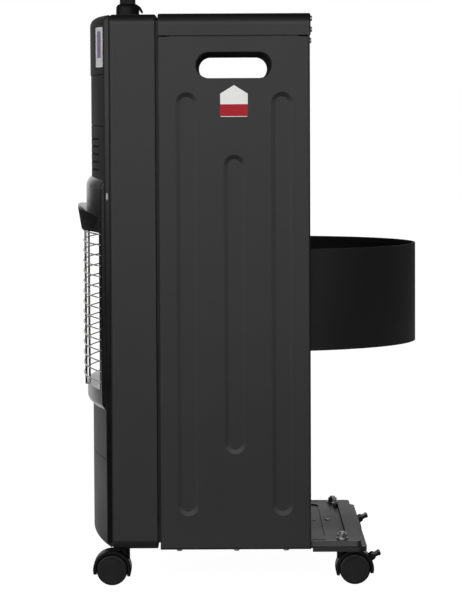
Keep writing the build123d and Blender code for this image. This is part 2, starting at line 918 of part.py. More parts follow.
def unit_back_plate():
    half = unit_half - hem_recess
    low, high = unit_bottom + hem_recess, unit_top - hem_recess
    sheet = block(-half, half, -unit_sheet, 0, low, high)
    hem = block(-half, half, unit_back, 0, low, high)
    inner = half - hem_width
    hem -= block(-inner, inner, unit_back - past, past, low + hem_width, high - hem_width)
    hole = round_bar((inlet_offset, -unit_sheet - past, inlet_z), (0, 1, 0), inlet_radius + running_fit,
                     unit_sheet + 2 * past)
    return sheet + hem - hole


def heat_shield():
    low, high = window_middle - shield_height / 2, window_middle + shield_height / 2
    front = -unit_sheet - shield_standoff - shield_sheet
    outer = block(-shield_half_width, shield_half_width, front, -unit_sheet, low, high)
    inner = shield_half_width - shield_sheet
    return outer - block(-inner, inner, front + shield_sheet, 0, low + shield_sheet, high - shield_sheet)


def routed(points, bend, radius):
    """Round pipe along upright and level legs with bends of one radius."""
    path = FilletPolyline(*points, radius=bend)
    start = Plane(origin=points[0], z_dir=tuple(Vector(*points[1]) - Vector(*points[0])))
    return sweep(start * Circle(radius), path=path)


def pilot_burner():
    (x, radius), low = pilot_places()[0], window_bottom - tray_sheet
    body = upright(x, pilot_y, radius, low - pilot_tail, window_bottom + pilot_length)
    cap = upright(x, pilot_y, radius + pilot_cap, window_bottom + pilot_length - 2 * pilot_cap,
                  window_bottom + pilot_length)
    port_at = (x, pilot_y - radius - past, window_bottom + pilot_length - pilot_port_drop)
    port = round_bar(port_at, (0, 1, 0), pilot_port, radius + past)
    socket = upright(x, pilot_y, pilot_pipe_radius + running_fit, low - pilot_tail - past, low)
    return body + cap - port - socket


def probe(index, length):
    """Rod standing in the tray, with the start of its lead below."""
    x, radius = pilot_places()[index]
    return upright(x, pilot_y, radius, window_bottom - tray_sheet - pilot_tail, window_bottom + length)


def lead(index, seat_y):
    """Thin lead from below the tray, up behind the burners and into the left side of the gas tap."""
    x = pilot_places()[index][0]
    low = window_bottom - tray_sheet - pilot_tail
    turn = low - lead_loop + pilot_tail
    high = valve_top - lead_drop
    points = [(x, pilot_y, low), (x, pilot_y, turn), (x, pipe_y, turn), (x, pipe_y, high),
              (x, seat_y, high), (-valve_width / 2, seat_y, high)]
    return routed(points, lead_bend, lead_radius)


def spark_electrode():
    return probe(1, electrode_length) + lead(1, -knob_setback - lead_spread)


def thermocouple():
    return probe(2, probe_length) + lead(2, -knob_setback + lead_spread)


def valve_ports():
    """Burner outlet at the rear, gas supply at the right, pilot outlet at the left."""
    y = -knob_setback
    return [((0, y + valve_length / 2, port_z), (0, 1, 0), pipe_radius),
            ((valve_width / 2, y, port_z), (1, 0, 0), pipe_radius),
            ((-valve_width / 2, y, port_z), (-1, 0, 0), pilot_pipe_radius)]


def gas_valve():
    y = -knob_setback
    body = block(-valve_width / 2, valve_width / 2, y - valve_length / 2, y + valve_length / 2,
                 valve_bottom, valve_top)
    body = fillet(body.edges().filter_by(Axis.Z), valve_corner)
    body += upright(0, y, valve_neck_radius, valve_top, unit_top - unit_sheet)
    body -= upright(0, y, plug_radius + running_fit, valve_bottom + valve_floor, plug_top + swivel_gap)
    body -= upright(0, y, spindle_radius + running_fit, plug_top, unit_top)
    for at, way, radius in valve_ports():
        into = tuple(-Vector(*way))
        body -= round_bar(at, into, radius + running_fit, pipe_seat)
    return body


def spindle_shape(grow, z0, z1):
    """Spindle rod with a flat along one side."""
    reach = spindle_radius + grow
    rod = upright(0, -knob_setback, reach, z0, z1)
    keep = block(-reach, spindle_flat + grow, -knob_setback - reach, -knob_setback + reach, z0, z1)
    return rod & keep


def valve_plug():
    plug = upright(0, -knob_setback, plug_radius, plug_bottom, plug_top)
    plug -= spindle_shape(running_fit, spindle_bottom - knob_travel - swivel_gap, plug_top + past)
    return plug


def valve_spindle():
    return spindle_shape(0.0, spindle_bottom, spindle_top)


def knob_wing():
    """Curved finger at the back of the knob, free of the skirt at its lower end."""
    y = -knob_setback
    low = knob_bottom + knob_wing_rise
    high = knob_bottom + knob_skirt
    tip = (y + knob_wing_reach, low)
    heel = (y + knob_wing_reach - knob_wing_thickness, low)
    join = (y + knob_radius - knob_wall, knob_bottom + knob_wing_root)
    shoulder = (y + knob_radius - knob_shoulder, high)
    inside = (y + knob_radius - knob_shoulder, knob_bottom + knob_wing_root)
    outline = make_face([
        RadiusArc(shoulder, tip, knob_wing_radius),
        Line(tip, heel),
        Line(heel, join),
        Line(join, inside),
        Line(inside, shoulder),
    ])
    return Pos(-knob_wing_width / 2, 0, 0) * extrude(Plane.YZ * outline, knob_wing_width)


def control_knob():
    """Hollow knob: a rounded skirt, a grip across its top, and a hub inside on the spindle."""
    y = -knob_setback
    skirt_high = knob_bottom + knob_skirt
    skirt = upright(0, y, knob_radius, knob_bottom, skirt_high)
    rims = skirt.edges().filter_by(GeomType.CIRCLE).sort_by(Axis.Z)
    skirt = fillet(rims[-1], knob_shoulder)
    half = knob_grip_width / 2
    grip_top = skirt_high + knob_grip_height
    grip = block(-half, half, y - knob_grip_length / 2, y + knob_grip_length / 2,
                 skirt_high - knob_edge, grip_top)
    grip = fillet(grip.edges().filter_by(Axis.Z), knob_grip_corner)
    grip = fillet(grip.faces().sort_by(Axis.Z)[-1].edges(), knob_edge)
    mark = block(-knob_mark_width / 2, knob_mark_width / 2, y, y + knob_grip_length,
                 grip_top - knob_mark_depth, grip_top + past)
    cavity = upright(0, y, knob_cup_radius, knob_bottom - past, knob_bottom + knob_cavity)
    cavity -= upright(0, y, knob_hub_radius, knob_bottom, knob_bottom + knob_cavity + past)
    knob = skirt + grip + knob_wing() - mark - cavity
    return knob - spindle_shape(running_fit, knob_bottom - past, spindle_top + running_fit)


def knob_bezel():
    """Low collar on the casing, inside the knob's skirt."""
    low, high = unit_top, unit_top + knob_bezel_height
    ring = upright(0, -knob_setback, knob_bezel_radius, low, high)
    return ring - upright(0, -knob_setback, knob_hub_radius + knob_bezel_gap, low - past, high + past)


def gas_pipes():
    """Burner pipe, supply pipe and pilot pipe."""
    y = -knob_setback
    burner = routed([(0, y + valve_length / 2 - pipe_seat, port_z), (0, pipe_y, port_z),
                     (0, pipe_y, manifold_z), (0, manifold_back - manifold_wall, manifold_z)],
                    pipe_bend, pipe_radius)
    supply = routed([(valve_width / 2 - pipe_seat, y, port_z), (inlet_offset, y, port_z),
                     (inlet_offset, y, inlet_z), (inlet_offset, -unit_sheet - inlet_boss / 2, inlet_z)],
                    pipe_bend, pipe_radius)
    x = -pilot_offset
    low = window_bottom - pilot_loop
    seat = window_bottom - tray_sheet - running_fit
    pilot = routed([(-valve_width / 2 + pipe_seat, y, port_z), (x, y, port_z), (x, pipe_y, port_z),
                    (x, pipe_y, low), (x, pilot_y, low), (x, pilot_y, seat)],
                   pipe_bend, pilot_pipe_radius)
    return [burner, supply, pilot]


def gas_inlet():
    """Nozzle for a push-on gas hose, clamped in the back plate."""
    def along(radius, y0, y1):
        return round_bar((inlet_offset, y0, inlet_z), (0, 1, 0), radius, y1 - y0)
    tail_end = inlet_collar + inlet_length
    tail = along(inlet_radius, -unit_sheet, tail_end)
    tip = tail.edges().filter_by(GeomType.CIRCLE).sort_by(Axis.Y)[-1]
    tail = chamfer(tip, inlet_chamfer)
    boss_front = -unit_sheet - inlet_boss
    collar = along(inlet_collar_radius, 0, inlet_collar)
    boss = along(inlet_boss_radius, boss_front, -unit_sheet)
    inlet = tail + collar + boss - along(inlet_bore, boss_front - past, tail_end + past)
    return inlet - along(pipe_radius + running_fit, boss_front - past, -unit_sheet - inlet_boss / 2)


def rear_rounded(half, y0, y1, z0, z1, radius):
    """Slab with its two rear corners rounded."""
    slab = block(-half, half, y0, y1, z0, z1)
    return fillet(slab.edges().filter_by(Axis.Z).group_by(Axis.Y)[-1], radius)


def plateau(shrink, base):
    """Raised middle of the base plate, with sloping sides."""
    length = plate_reach - plate_front
    outline = RectangleRounded(2 * (plate_half_width - plate_rim_width - shrink),
                               length - 2 * plate_rim_width - 2 * shrink, plateau_corner - shrink)
    rise = plate_top - plate_bottom - plate_sheet
    lean = degrees(atan2(plate_slope, rise))
    return Pos(0, plate_front + length / 2, base) * extrude(outline, rise, taper=lean)


def pressing(half, y0, y1, depth, radius):
    """Solid to take from the plate's top and solid to add below it, for a recess of this depth."""
    cut = block(-half, half, y0, y1, plate_top - depth, plate_top + past)
    grow = block(-half - plate_sheet, half + plate_sheet, y0 - plate_sheet, y1 + plate_sheet,
                 plate_top - depth - plate_sheet, plate_top - plate_sheet)
    return (fillet(cut.edges().filter_by(Axis.Z), radius),
            fillet(grow.edges().filter_by(Axis.Z), radius + plate_sheet))


def base_plate():
    """Pressed tray under the gas cylinder, with a shallow well, a cross channel and a lip."""
    rim_top = plate_bottom + plate_sheet
    rim = rear_rounded(plate_half_width, plate_front, plate_reach, plate_bottom, rim_top, plate_corner)
    lip = rear_rounded(plate_half_width, panel_depth + plate_side_gap, plate_reach, rim_top - plate_lip,
                       rim_top, plate_corner)
    lip -= rear_rounded(plate_half_width - plate_sheet, panel_depth, plate_reach - plate_sheet,
                        rim_top - plate_lip - past, rim_top + past, plate_corner - plate_sheet)
    half = plate_half_width - well_margin
    recesses = [pressing(half, well_front, well_back, well_depth, well_corner),
                pressing(half, channel_middle - channel_width / 2, channel_middle + channel_width / 2,
                         channel_depth, channel_corner)]
    plate = rim + lip + plateau(0.0, rim_top) - plateau(plate_sheet, plate_bottom)
    for recess, swell in recesses:
        plate = plate + swell - recess
    plate -= upright(0, well_back - drain_setback, drain_radius, plate_bottom, plate_top + past)
    slot = SlotOverall(plate_slot_length, plate_slot_width, rotation=90)
    for side in (-1, 1):
        x = side * (plate_half_width - plate_slot_inset)
        plate -= Pos(x, plate_reach - plate_slot_setback, plate_bottom) * extrude(slot, plate_top)
    for x, y in rear_stems():
        plate -= upright(x, y, stem_radius + running_fit, plate_bottom, plate_top + past)
    plate -= rivet_hole()
    for at in bottom_screws():
        plate -= screw_hole(at, (0, 0, -1))
    return plate


def rail_rivet():
    """Dome-headed rivet through the plate and the rail's front flange, closed below."""
    head = upright(0, rivet_y, rivet_head_radius, plate_top, plate_top + rivet_head)
    head = fillet(head.edges().filter_by(GeomType.CIRCLE).sort_by(Axis.Z)[-1], rivet_dome)
    under = plate_top - 2 * plate_sheet
    shank = upright(0, rivet_y, rivet_radius, under, plate_top)
    return head + shank + upright(0, rivet_y, rivet_tail_radius, under - rivet_tail, under)


def rivet_hole():
    return upright(0, rivet_y, rivet_radius + running_fit, plate_top - 3 * plate_sheet, plate_top + past)


def castor_rail():
    """Hat-section rail under the rear of the base plate."""
    half = plate_half_width - plateau_margin - rail_inset
    y = rear_castor_reach
    high = plate_top - plate_sheet
    outer = block(-half, half, y - rail_web / 2, y + rail_web / 2, unit_bottom, high)
    inner = block(-half - past, half + past, y - rail_web / 2 + plate_sheet, y + rail_web / 2 - plate_sheet,
                  unit_bottom + plate_sheet, high + past)
    flanges = block(-half, half, y - rail_width / 2, y + rail_width / 2, high - plate_sheet, high)
    rail = outer + flanges - inner
    for x, stem_y in rear_stems():
        rail -= upright(x, stem_y, stem_radius + running_fit, unit_bottom - past, plate_top)
    return rail - rivet_hole()


def half_ring(outer, inner, z0, z1):
    """Rear half of a ring about the band's axis."""
    ring = upright(0, band_centre, outer, z0, z1) - upright(0, band_centre, inner, z0 - past, z1 + past)
    return ring & block(-outer, outer, band_centre, band_centre + outer, z0, z1)


def keeper_heights():
    return [band_middle + side * hook_spacing / 2 for side in (-1, 1)]


def band_hook(z):
    """Bridge over the keeper's strap and a leg down behind it."""
    top = z + keeper_height / 2
    y0, y1 = keeper_y - hook_width / 2, keeper_y + hook_width / 2
    leg_x = keeper_x + keeper_sheet + hook_gap
    seat = top + hook_gap
    bridge = block(band_radius - band_sheet, leg_x + band_sheet, y0, y1, seat, seat + band_sheet)
    leg = block(leg_x, leg_x + band_sheet, y0, y1, top - hook_depth, seat + band_sheet)
    return bridge + leg


def cylinder_band():
    top = band_bottom + band_height
    inner = band_radius - band_sheet
    band = half_ring(band_radius, inner, band_bottom, top)
    for z0, z1 in ((band_bottom, band_bottom + band_hem), (top - band_hem, top)):
        band += half_ring(inner, inner - band_sheet, z0, z1)
    for side in (-1, 1):
        tail = block(inner, band_radius, band_centre - band_tail, band_centre, band_bottom, top)
        for z in keeper_heights():
            tail += band_hook(z)
        band += tail if side > 0 else mirrored(tail)
    return band


def band_keepers():
    keepers = []
    for z in keeper_heights():
        outer = block(keeper_x, panel_inner, keeper_y - keeper_width / 2, keeper_y + keeper_width / 2,
                      z - keeper_height / 2, z + keeper_height / 2)
        slot = block(keeper_x + keeper_sheet, panel_inner + past, keeper_y - keeper_width / 2 + keeper_sheet,
                     keeper_y + keeper_width / 2 - keeper_sheet, z - keeper_height, z + keeper_height)
        keeper = outer - slot
        keepers += [keeper, mirrored(keeper)]
    return keepers


def castor_stems():
    stems = []
    for x, y in front_stems() + rear_stems():
        stem = upright(x, y, pin_radius, castor_top - pin_length, castor_top)
        stem += upright(x, y, stem_collar_radius, castor_top, unit_bottom)
        stem += upright(x, y, stem_radius, unit_bottom, unit_bottom + stem_length)
        stems.append(stem)
    return stems


def castor_hood(braked):
    """Hood and web of one castor, stem axis at X = Y = 0, wheels trailing towards +Y."""
    y, z = castor_trail, wheel_radius
    half = wheel_outer - hood_inset
    body = cross_bar(y, z, hood_radius, -half, half)
    body = fillet(body.edges().filter_by(GeomType.CIRCLE), hood_edge)
    body -= cross_bar(y, z, wheel_radius + hood_gap, -half - past, half + past)
    web = cross_bar(y, z, web_radius, -web_thickness / 2, web_thickness / 2)
    boss = upright(0, 0, boss_radius, hood_top - boss_height - boss_root, hood_top)
    body = body + web + boss
    wheel_space = cross_bar(y, z, wheel_radius + hood_gap, web_thickness / 2, 2 * half)
    body = body - wheel_space - mirrored(wheel_space)
    below = block(-2 * half, 2 * half, -2 * hood_radius, 2 * hood_radius, -2 * hood_radius, 0)
    body -= Pos(0, y, z - hood_low) * Rot(hood_tilt, 0, 0) * below
    body -= cross_bar(y, z, axle_radius + running_fit, -half, half)
    body -= upright(0, 0, pin_radius + running_fit, castor_top - pin_length - swivel_gap, castor_top)
    if braked:
        notch = lever_notch_solid()
        body = body + lever_ears() - notch - mirrored(notch)
    return body


def lever_hub_place():
    angle = radians(lever_angle)
    return castor_trail + lever_radius * cos(angle), wheel_radius + lever_radius * sin(angle)


def radial_block(x0, x1, r0, r1, half_width):
    """Block about the line from the wheel centre to the lever's hub."""
    turn = Pos(0, castor_trail, wheel_radius) * Rot(lever_angle, 0, 0)
    return turn * block(x0, x1, r0, r1, -half_width, half_width)


def lever_ears():
    y, z = lever_hub_place()
    x0 = lever_width / 2 + lever_clearance
    x1 = x0 + ear_thickness
    ear = cross_bar(y, z, ear_radius, x0, x1)
    ear += radial_block(x0, x1, wheel_radius + hood_gap, lever_radius, ear_radius)
    ear -= cross_bar(y, z, lever_pin_radius + running_fit, x0 - past, x1 + past)
    return ear + mirrored(ear)


def lever_notch_solid():
    """Cut through the hood on the +X side of the web, up to the ear."""
    inner = web_thickness / 2
    outer = lever_width / 2 + lever_clearance
    return radial_block(inner, outer, wheel_radius, lever_radius + ear_radius, lever_notch / 2)


def brake_lever():
    """Foot lever drawn raised; turned down by its swing, its cams come to the wheel treads."""
    y, z = lever_hub_place()
    half = lever_width / 2
    hub = cross_bar(y, z, lever_hub, -half, half)
    pin_half = half + lever_clearance + ear_thickness
    lever = hub + cross_bar(y, z, lever_pin_radius, -pin_half, pin_half)
    reach = lever_radius - wheel_radius - lever_wheel_gap - lever_cam_thickness / 2
    at_hub = Pos(0, y, z)
    cam = block(lever_cam_inner, half, -reach, 0, -lever_cam_thickness / 2, lever_cam_thickness / 2)
    cam += cross_bar(-reach, 0, lever_cam_thickness / 2, lever_cam_inner, half)
    cam = at_hub * Rot(lever_angle + lever_swing, 0, 0) * cam
    arm = block(-half, half, 0, lever_length, -lever_arm_thickness / 2, lever_arm_thickness / 2)
    arm += cross_bar(lever_length, 0, lever_tip_radius, -half, half)
    arm = at_hub * Rot(lever_arm_angle, 0, 0) * arm
    return lever + cam + mirrored(cam) + arm


def castor_axle():
    half = wheel_inner + axle_socket
    return cross_bar(castor_trail, wheel_radius, axle_radius, -half, half)


def castor_wheel():
    """Wheel on the +X side of its castor."""
    y, z = castor_trail, wheel_radius
    wheel = cross_bar(y, z, wheel_radius, wheel_inner, wheel_outer)
    wheel = fillet(wheel.edges().filter_by(GeomType.CIRCLE), wheel_round)
    groove_floor = wheel_outer - wheel_ring_depth
    core = wheel_ring_radius - wheel_ring_width
    ring = cross_bar(y, z, wheel_ring_radius, groove_floor, wheel_outer + past)
    ring -= cross_bar(y, z, core, groove_floor - past, wheel_outer + past)
    socket_end = wheel_inner + axle_socket + axle_end_gap
    bore = cross_bar(y, z, axle_radius + running_fit, wheel_inner - past, socket_end)
    return wheel - ring - bore


def castor_places():
    """Name, stem place and turn of each castor. Front ones trail forwards, rear ones rearwards."""
    places = []
    for hand, side in (("left", -1), ("right", 1)):
        x = side * castor_offset
        places.append(("front_" + hand, x, -front_castor_setback, front_castor_turn))
        places.append(("rear_" + hand, x, rear_castor_reach, 0))
    return places


def castor_nuts():
    """A washer and a nut on the upper end of each castor stem."""
    pieces = []
    floors = {True: unit_bottom + unit_sheet, False: plate_top}
    for x, y in front_stems() + rear_stems():
        low = floors[y < 0]
        seat = low + washer_height
        hole = upright(x, y, stem_radius + running_fit, low - past, seat + nut_height + past)
        pieces.append(upright(x, y, washer_radius, low, seat) - hole)
        pieces.append(hexagon(x, y, nut_width, seat, seat + nut_height) - hole)
    return pieces


def fasteners():
    screws = [screw(at, (0, 1, 0)) for at in rear_screws()]
    screws += [screw(at, (0, 0, -1)) for at in bottom_screws()]
    return screws + castor_nuts() + [rail_rivet()]


def front_panels():
    fascia_front = bow_front - fascia_step
    fascia = front_pan(fascia_front, fascia_bottom, unit_top, top=front_round)
    kick = front_pan(bow_front, unit_bottom, kick_top - panel_seam, bottom=front_round)
    upper = front_pan(bow_front, upper_front_bottom, fascia_bottom - panel_seam)
    return {"control_fascia": fascia, "kick_panel": kick, "upper_front_panel": upper,
            "main_front_panel": main_front_panel()}


def burner_pieces():
    pieces = {}
    for name, x in zip(("left", "middle", "right"), burner_places()):
        pieces["burner_plaque_" + name] = burner_plaque(x)
        pieces["burner_box_" + name] = burner_box(x)
    return pieces


def castor_pieces():
    pieces = {}
    wheel = castor_wheel()
    for name, x, y, turn in castor_places():
        place = Pos(x, y, 0) * Rot(0, 0, turn)
        braked = name.startswith("rear")
        pieces["castor_hood_" + name] = place * castor_hood(braked)
        pieces["castor_axle_" + name] = place * castor_axle()
        pieces["castor_wheel_" + name + "_a"] = place * wheel
        pieces["castor_wheel_" + name + "_b"] = place * mirrored(wheel)
        if braked:
            pieces["brake_lever_" + name] = place * brake_lever()
    return pieces


def all_pieces():
    panel = side_panel()
    pieces = {
        "side_panel_right": panel,
        "side_panel_left": mirrored(panel),
        "top_cover": top_cover(),
        "rear_tie_bar": rear_tie_bar(),
        "front_casing": front_casing(),
        "corner_strips": corner_strips(),
        "bezel_frame": bezel_frame(),
        "bezel_visor": bezel_visor(),
        "guard_wires": guard_wires(),
        "guard_rods": guard_rods(),
        "reflector_tray": reflector_tray(),
        "gas_manifold": gas_manifold(),
        "manifold_brackets": manifold_brackets(),
        "gas_jets": gas_jets(),
        "pilot_burner": pilot_burner(),
        "thermocouple": thermocouple(),
        "spark_electrode": spark_electrode(),
        "gas_valve": gas_valve(),
        "gas_pipes": gas_pipes(),
        "gas_inlet": gas_inlet(),
        "unit_back_plate": unit_back_plate(),
        "heat_shield": heat_shield(),
        "knob_bezel": knob_bezel(),
        "valve_plug": valve_plug(),
        "valve_spindle": valve_spindle(),
        "control_knob": control_knob(),
        "base_plate": base_plate(),
        "castor_rail": castor_rail(),
        "cylinder_band": cylinder_band(),
        "band_keepers": band_keepers(),
        "castor_stems": castor_stems(),
        "fasteners": fasteners(),
    }
    pieces.update(front_panels())
    pieces.update(burner_pieces())
    pieces.update(castor_pieces())
    return pieces


os.makedirs("parts", exist_ok=True)
for node, shape in all_pieces().items():
    solids = shape if isinstance(shape, list) else [shape]
    moved = [Pos(0, origin_shift, 0) * solid for solid in solids]
    export_step(moved[0] if len(moved) == 1 else Compound(children=moved), "parts/" + node + ".step")
    print(node, len(moved))
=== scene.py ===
import bmesh
import bpy
from math import cos, radians, sin, sqrt
from mathutils import Matrix, Vector


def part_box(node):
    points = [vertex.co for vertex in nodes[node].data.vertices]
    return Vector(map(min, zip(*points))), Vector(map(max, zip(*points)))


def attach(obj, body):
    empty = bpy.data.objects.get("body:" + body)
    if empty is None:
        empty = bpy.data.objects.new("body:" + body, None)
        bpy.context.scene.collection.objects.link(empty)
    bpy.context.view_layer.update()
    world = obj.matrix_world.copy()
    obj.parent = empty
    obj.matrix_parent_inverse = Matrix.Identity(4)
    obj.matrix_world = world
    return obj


# Mobile gas cabinet heater. Metres, front to -Y, floor at Z = 0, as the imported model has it.
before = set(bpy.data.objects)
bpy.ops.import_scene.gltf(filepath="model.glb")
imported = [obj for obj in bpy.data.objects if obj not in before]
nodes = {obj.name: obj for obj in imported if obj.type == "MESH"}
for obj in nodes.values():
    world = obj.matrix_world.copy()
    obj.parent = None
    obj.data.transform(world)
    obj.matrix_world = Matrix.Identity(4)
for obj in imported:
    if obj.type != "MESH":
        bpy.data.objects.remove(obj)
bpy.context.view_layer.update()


def mm(value):
    return value / 1000.0


def perMm(sizeInMm):
    # scale of a pattern whose features are about this many millimetres across, in a model drawn in metres
    return 1000.0 / sizeInMm


def linear(hexColour):
    # sRGB hex, such as "#303132", to the linear colour that a shader socket takes
    parts = [int(hexColour[i:i + 2], 16) / 255 for i in (1, 3, 5)]
    return tuple(p / 12.92 if p <= 0.04045 else ((p + 0.055) / 1.055) ** 2.4 for p in parts) + (1.0,)


def addNode(tree, kind, settings=None, feeds=None):
    # one node, its settings, and for each input either a plain value or the socket that feeds it
    node = tree.nodes.new(kind)
    for name, value in (settings or {}).items():
        setattr(node, name, value)
    for socketName, value in (feeds or {}).items():
        if isinstance(value, bpy.types.NodeSocket):
            tree.links.new(value, node.inputs[socketName])
        else:
            node.inputs[socketName].default_value = value
    return node


def newMaterial(name):
    material = bpy.data.materials.new(name)
    material.use_nodes = True
    tree = material.node_tree
    tree.nodes.clear()
    where = addNode(tree, "ShaderNodeTexCoord").outputs["Object"]
    return material, tree, where


# Most values of a noise texture lie between these two, which spread them over a roughness range.
noiseSpan = {"From Min": 0.3, "From Max": 0.7}


def finishSurface(tree, look, tone, sheen, grain, settings):
    # tone runs from the first colour to the second, sheen spreads the roughness, grain raises the relief
    first, second = look["tones"]
    glossy, dull = look["rough"]
    colour = addNode(tree, "ShaderNodeMixRGB", feeds={"Fac": tone, "Color1": linear(first),
                                                      "Color2": linear(second)})
    rough = addNode(tree, "ShaderNodeMapRange", feeds={"Value": sheen, **noiseSpan, "To Min": glossy,
                                                       "To Max": dull})
    relief = addNode(tree, "ShaderNodeBump", feeds={"Height": grain, "Distance": mm(look["bumpMm"]),
                                                    "Strength": look["bumpShare"]})
    shader = addNode(tree, "ShaderNodeBsdfPrincipled",
                     feeds={"Base Color": colour.outputs[0], "Roughness": rough.outputs[0],
                            "Normal": relief.outputs[0], **settings})
    addNode(tree, "ShaderNodeOutputMaterial", feeds={"Surface": shader.outputs[0]})


# Powder-coated steel, baked fine texture: even charcoal with a broad soft sheen. The real grain is
# 0.3 mm and is drawn at 1.5 mm, about one pixel, so that it shows as a faint sparkle.
bodyCoat = {"tones": ("#1c1c1c", "#212121"), "cloudMm": 140, "grainMm": 1.5, "grainShare": 0.5,
            "toneSpan": (0.5, 1.0), "rough": (0.36, 0.44), "bumpMm": 0.05, "bumpShare": 0.6,
            "ior": 1.5, "specular": 0.5}
frontCoat = dict(bodyCoat, rough=(0.40, 0.50), specular=0.4)
bandCoat = dict(bodyCoat, tones=("#1d1d1d", "#232323"), rough=(0.46, 0.58), specular=0.3)


def powderCoatedSteel(name, look):
    material, tree, where = newMaterial(name)
    cloud = addNode(tree, "ShaderNodeTexNoise", feeds={"Vector": where, "Scale": perMm(look["cloudMm"]),
                                                       "Detail": 3.0}).outputs["Fac"]
    grain = addNode(tree, "ShaderNodeTexNoise", feeds={"Vector": where, "Scale": perMm(look["grainMm"]),
                                                       "Detail": 2.0}).outputs["Fac"]
    both = addNode(tree, "ShaderNodeMath", {"operation": "MULTIPLY_ADD"},
                   {0: grain, 1: look["grainShare"], 2: cloud}).outputs[0]
    low, high = look["toneSpan"]
    tone = addNode(tree, "ShaderNodeMapRange", feeds={"Value": both, "From Min": low,
                                                      "From Max": high}).outputs[0]
    finishSurface(tree, look, tone, cloud, grain,
                  {"IOR": look["ior"], "Specular IOR Level": look["specular"]})
    return material


# Vitreous black enamel, sprayed and fired: deeper than the coat and glossier, with a slow
# orange-peel ripple that bends the edges of reflections.
enamelLook = {"tones": ("#0a0a0a", "#0f0f0f"), "hazeMm": 45, "rippleMm": 7, "rough": (0.14, 0.20),
              "bumpMm": 0.06, "bumpShare": 0.35, "ior": 1.52, "specular": 0.35}


def firedBlackEnamel(name, look):
    material, tree, where = newMaterial(name)
    ripple = addNode(tree, "ShaderNodeTexNoise", feeds={"Vector": where, "Scale": perMm(look["rippleMm"]),
                                                        "Detail": 1.0}).outputs["Fac"]
    haze = addNode(tree, "ShaderNodeTexNoise", feeds={"Vector": where, "Scale": perMm(look["hazeMm"]),
                                                      "Detail": 4.0}).outputs["Fac"]
    finishSurface(tree, look, haze, haze, ripple,
                  {"IOR": look["ior"], "Specular IOR Level": look["specular"]})
    return material


# Plastic, injection-moulded in a spark-eroded mould: near black, matt, with a fine pebble. The castor
# hoods are a shade deeper and the nylon wheels a shade paler. The same pebble is drawn on the near-black
# strips of painted shade in the louvres, and in pale grey, a painted highlight, on the moulded rubber
# buffers.
knobPlastic = {"tones": ("#0f0f0f", "#141414"), "pebbleMm": 1.3, "wearMm": 9, "rough": (0.38, 0.5),
               "bumpMm": 0.05, "bumpShare": 0.4, "ior": 1.5, "specular": 0.18}
hoodPlastic = dict(knobPlastic, tones=("#0b0b0b", "#0f0f0f"), rough=(0.32, 0.44), specular=0.15)
wheelNylon = dict(knobPlastic, tones=("#161616", "#1b1b1b"), rough=(0.30, 0.42), specular=0.25)
# Near black for the strips in the louvres: painted shade.
louvreShadePaint = dict(knobPlastic, tones=("#0a0a0a", "#1c1c1c"), pebbleMm=1.5, bumpMm=0.15, rough=(0.6, 0.8))
# Pale grey for the rubber buffers: a painted highlight for the glint on them.
bufferPaintedGlint = dict(knobPlastic, tones=("#a2a2a0", "#b4b4b1"), rough=(0.5, 0.65))


def mouldedPlastic(name, look):
    material, tree, where = newMaterial(name)
    pebble = addNode(tree, "ShaderNodeTexVoronoi", {"feature": "SMOOTH_F1"},
                     {"Vector": where, "Scale": perMm(look["pebbleMm"])}).outputs["Distance"]
    wear = addNode(tree, "ShaderNodeTexNoise", feeds={"Vector": where, "Scale": perMm(look["wearMm"]),
                                                      "Detail": 5.0, "Roughness": 0.65}).outputs["Fac"]
    finishSurface(tree, look, wear, wear, pebble,
                  {"IOR": look["ior"], "Specular IOR Level": look["specular"]})
    return material


# Bare metals. Chromed wire is a bright mirror, zinc plate a soft silvery grey, rolled stainless brushed
# and a little warm, turned brass and drawn copper slightly dulled, drawn aluminium faintly lined and the
# casting grainy. The first tone is clean metal and the second its tarnish. grainMm is the width of a
# line of the grain, and stretch the scale of the pattern along each axis, below 1 where lines run.
chromeWire = {"tones": ("#c9cbcd", "#8e9092"), "tarnishMm": 28, "tarnishSpan": (0.45, 0.75),
              "grainMm": 3.0, "stretch": (0.15, 1, 1), "rough": (0.06, 0.16), "bumpMm": 0.01,
              "bumpShare": 0.5}
zincPlate = dict(chromeWire, tones=("#dcdcda", "#a9aaa5"), grainMm=1.6, stretch=(1, 1, 1),
                 rough=(0.24, 0.42), bumpMm=0.03)
stainlessSheet = dict(chromeWire, tones=("#b5b3ad", "#8d8377"), grainMm=1.4, stretch=(0.04, 1, 1),
                      rough=(0.16, 0.32), bumpMm=0.015)
turnedBrass = dict(chromeWire, tones=("#c2a05a", "#8c6f37"), grainMm=1.2, stretch=(1, 1, 0.1),
                   rough=(0.2, 0.36), bumpMm=0.02)
drawnCopper = dict(chromeWire, tones=("#b9744c", "#7a4a30"), grainMm=1.5, stretch=(1, 1, 0.1),
                   rough=(0.22, 0.4), bumpMm=0.02)
castAluminium = dict(chromeWire, tones=("#a4a6a8", "#7d7f81"), grainMm=1.8, stretch=(1, 1, 1),
                     rough=(0.4, 0.6), bumpMm=0.12)
drawnAluminium = dict(chromeWire, tones=("#b3b5b7", "#8b8d8f"), grainMm=1.3, stretch=(0.1, 1, 1),
                      rough=(0.24, 0.4), bumpMm=0.02)


def bareMetal(name, look):
    material, tree, where = newMaterial(name)
    along = addNode(tree, "ShaderNodeVectorMath", {"operation": "MULTIPLY"},
                    {0: where, 1: look["stretch"]}).outputs[0]
    lines = addNode(tree, "ShaderNodeTexNoise", feeds={"Vector": along, "Scale": perMm(look["grainMm"]),
                                                       "Detail": 3.0}).outputs["Fac"]
    tarnish = addNode(tree, "ShaderNodeTexNoise", feeds={"Vector": where, "Scale": perMm(look["tarnishMm"]),
                                                         "Detail": 4.0, "Roughness": 0.6}).outputs["Fac"]
    low, high = look["tarnishSpan"]
    spots = addNode(tree, "ShaderNodeMapRange", feeds={"Value": tarnish, "From Min": low,
                                                       "From Max": high}).outputs[0]
    finishSurface(tree, look, spots, lines, lines, {"Metallic": 1.0})
    return material
